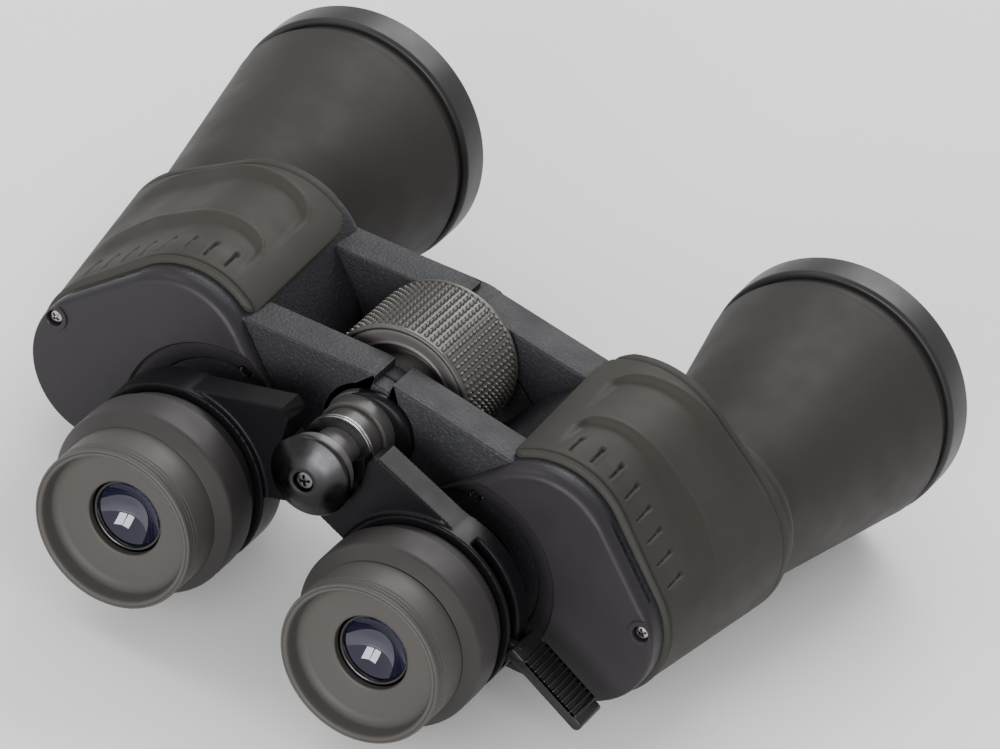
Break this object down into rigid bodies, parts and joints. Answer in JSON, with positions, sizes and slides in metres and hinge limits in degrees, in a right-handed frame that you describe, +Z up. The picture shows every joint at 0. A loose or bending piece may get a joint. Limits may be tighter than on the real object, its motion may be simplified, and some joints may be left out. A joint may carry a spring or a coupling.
{
  "type": "binoculars",
  "caption": "Full-size Porro prism zoom binoculars with rubber armour, a centre hinge, a knurled focus wheel and a side zoom lever.",
  "frame": {"origin": "on the centre plane, midway along the length, level with the bottom of the objective rims", "axes": "+X to the user's right, +Y from the eyepieces towards the objectives, +Z up"},
  "size_m": [0.2022, 0.1842, 0.0712],
  "materials": {
    "casting": "black crinkle paint",
    "cover": "charcoal satin paint",
    "armour_rubber": "matte dark olive brown",
    "barrel_paint": "fine textured dark olive paint",
    "rim_rubber": "matte near-black",
    "coated_glass": "purple anti-reflection coating",
    "prism_glass": "clear polished",
    "black_anodised": "black anodised",
    "bright_screw": "nickel plated",
    "steel": "turned steel",
    "brass": "turned brass",
    "wheel_rubber": "matte knurled rubber",
    "hinge_paint": "semi-gloss dark grey paint",
    "eyecup_rubber": "matte olive grey",
    "black_plastic": "moulded black"
  },
  "bodies": {
    "left_half": {"left_prism_housing": "casting", "left_armour": "armour_rubber", "left_cover_plate": "cover", "left_cover_screws": "bright_screw", "left_objective_tube": "barrel_paint", "left_objective_rim": "rim_rubber", "left_objective_lens": "coated_glass", "left_lens_retainer": "black_anodised", "left_rear_prism": "prism_glass", "left_front_prism": "prism_glass", "left_prism_shelf": "steel", "left_prism_clips": "steel", "left_strap_lug": "steel", "hinge_axle": "steel", "tripod_bush": "brass", "rear_hinge_bush": "hinge_paint"},
    "right_half": {"right_prism_housing": "casting", "right_armour": "armour_rubber", "right_cover_plate": "cover", "right_cover_screws": "bright_screw", "right_objective_tube": "barrel_paint", "right_objective_rim": "rim_rubber", "right_objective_lens": "coated_glass", "right_lens_retainer": "black_anodised", "right_rear_prism": "prism_glass", "right_front_prism": "prism_glass", "right_prism_shelf": "steel", "right_prism_clips": "steel", "right_strap_lug": "steel"},
    "focus_wheel": {"focus_wheel_hub": "hinge_paint", "focus_wheel_grip": "wheel_rubber"},
    "focus_spindle": {"focus_spindle": "hinge_paint", "spindle_sleeve": "hinge_paint", "spindle_cap": "hinge_paint", "cap_screw": "bright_screw", "hub_washers": "steel"},
    "left_eyepiece": {"left_eyepiece_arm": "casting", "left_eyepiece_tube": "black_anodised", "left_eyecup": "eyecup_rubber", "left_field_lens": "coated_glass", "left_zoom_band": "steel", "left_eye_ring": "eyecup_rubber", "left_eye_bezel": "black_anodised", "left_eye_lens": "coated_glass"},
    "right_eyepiece": {"right_eyepiece_arm": "casting", "right_eyepiece_tube": "black_anodised", "right_eyecup": "eyecup_rubber", "right_field_lens": "coated_glass", "right_zoom_band": "steel"},
    "zoom_lever": {"right_zoom_ring": "black_plastic"},
    "left_zoom_ring": {"left_zoom_ring": "black_plastic"},
    "left_zoom_cell": {"left_zoom_cell": "black_anodised"},
    "right_zoom_cell": {"right_zoom_cell": "black_anodised"},
    "diopter_ring": {"diopter_ring": "eyecup_rubber"},
    "right_eye_cell": {"right_eye_bezel": "black_anodised", "right_eye_lens": "coated_glass"}
  },
  "joints": [
    {"name": "centre_hinge", "type": "hinge", "parent": "left_half", "child": "right_half", "pos_m": [0, -0.0341, 0.0509], "axis": [0, 1, 0], "range_deg": [-17, 24]},
    {"name": "focus_turn", "type": "hinge", "parent": "left_half", "child": "focus_wheel", "pos_m": [0, -0.0121, 0.0509], "axis": [0, 1, 0], "range_deg": [-150, 150]},
    {"name": "spindle_slide", "type": "slide", "parent": "left_half", "child": "focus_spindle", "axis": [0, 1, 0], "range_m": [-0.005, 0.005]},
    {"name": "left_eyepiece_slide", "type": "slide", "parent": "left_half", "child": "left_eyepiece", "axis": [0, 1, 0], "range_m": [-0.005, 0.005]},
    {"name": "right_eyepiece_slide", "type": "slide", "parent": "right_half", "child": "right_eyepiece", "axis": [0, 1, 0], "range_m": [-0.005, 0.005]},
    {"name": "zoom_turn", "type": "hinge", "parent": "right_eyepiece", "child": "zoom_lever", "pos_m": [0.03315, -0.0591, 0.0295], "axis": [0, -1, 0], "range_deg": [0, 60]},
    {"name": "left_zoom_turn", "type": "hinge", "parent": "left_eyepiece", "child": "left_zoom_ring", "pos_m": [-0.03315, -0.0591, 0.0295], "axis": [0, -1, 0], "range_deg": [0, 60]},
    {"name": "right_zoom_slide", "type": "slide", "parent": "right_eyepiece", "child": "right_zoom_cell", "axis": [0, 1, 0], "range_m": [0, 0.0061]},
    {"name": "left_zoom_slide", "type": "slide", "parent": "left_eyepiece", "child": "left_zoom_cell", "axis": [0, 1, 0], "range_m": [0, 0.0061]},
    {"name": "diopter_turn", "type": "hinge", "parent": "right_eyepiece", "child": "diopter_ring", "pos_m": [0.03315, -0.0721, 0.0295], "axis": [0, 1, 0], "range_deg": [-60, 60]},
    {"name": "diopter_slide", "type": "slide", "parent": "right_eyepiece", "child": "right_eye_cell", "axis": [0, 1, 0], "range_m": [-0.00125, 0.00125]}
  ],
  "couplings": [
    {"joint": "spindle_slide", "follows": "focus_turn", "m_per_rad": 0.001897},
    {"joint": "left_eyepiece_slide", "follows": "focus_turn", "m_per_rad": 0.001897},
    {"joint": "right_eyepiece_slide", "follows": "focus_turn", "m_per_rad": 0.001897},
    {"joint": "left_zoom_turn", "follows": "zoom_turn", "ratio": 1},
    {"joint": "right_zoom_slide", "follows": "zoom_turn", "m_per_rad": 0.00573},
    {"joint": "left_zoom_slide", "follows": "zoom_turn", "m_per_rad": 0.00573},
    {"joint": "diopter_slide", "follows": "diopter_turn", "m_per_rad": 0.001146}
  ]
}
